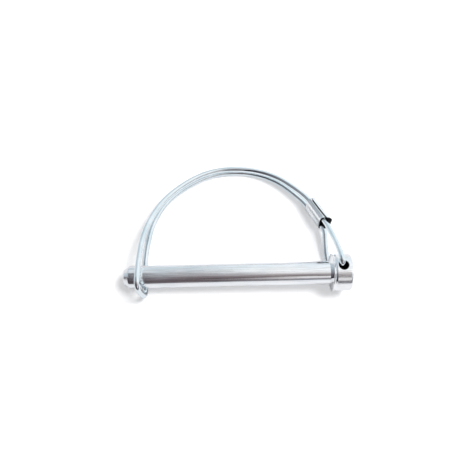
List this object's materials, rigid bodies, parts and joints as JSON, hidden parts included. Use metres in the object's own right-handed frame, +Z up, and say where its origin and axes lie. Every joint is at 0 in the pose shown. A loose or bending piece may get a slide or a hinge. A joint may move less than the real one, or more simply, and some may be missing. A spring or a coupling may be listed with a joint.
{
  "type": "lynch pin",
  "caption": "Round lynch pin: a headed steel pin whose hinged double-wire loop snaps over the far end of the shank to lock it in place.",
  "frame": {"origin": "on the shank's axis, at the foot of the collar", "axes": "+X along the pin from the tip to the head, +Y from the pin to the top of the wire loop, +Z up from the table the part lies on"},
  "size_m": [0.0799, 0.0524, 0.0178],
  "materials": {
    "plated_steel": "bright zinc plating, smooth, with a faint blue cast",
    "spring_wire": "bright zinc plated spring wire",
    "sleeve_sheet": "zinc plated sheet, slightly duller than the wire"
  },
  "bodies": {
    "pin": {"pin": "plated_steel"},
    "bail": {"wire_bail": "spring_wire", "sleeve": "sleeve_sheet"}
  },
  "joints": [
    {"name": "bail_swing", "type": "hinge", "parent": "pin", "child": "bail", "pos_m": [0.00425, 0, 0.00013], "axis": [0.0297, -0.1349, -0.9904], "range_deg": [0, 260]}
  ]
}
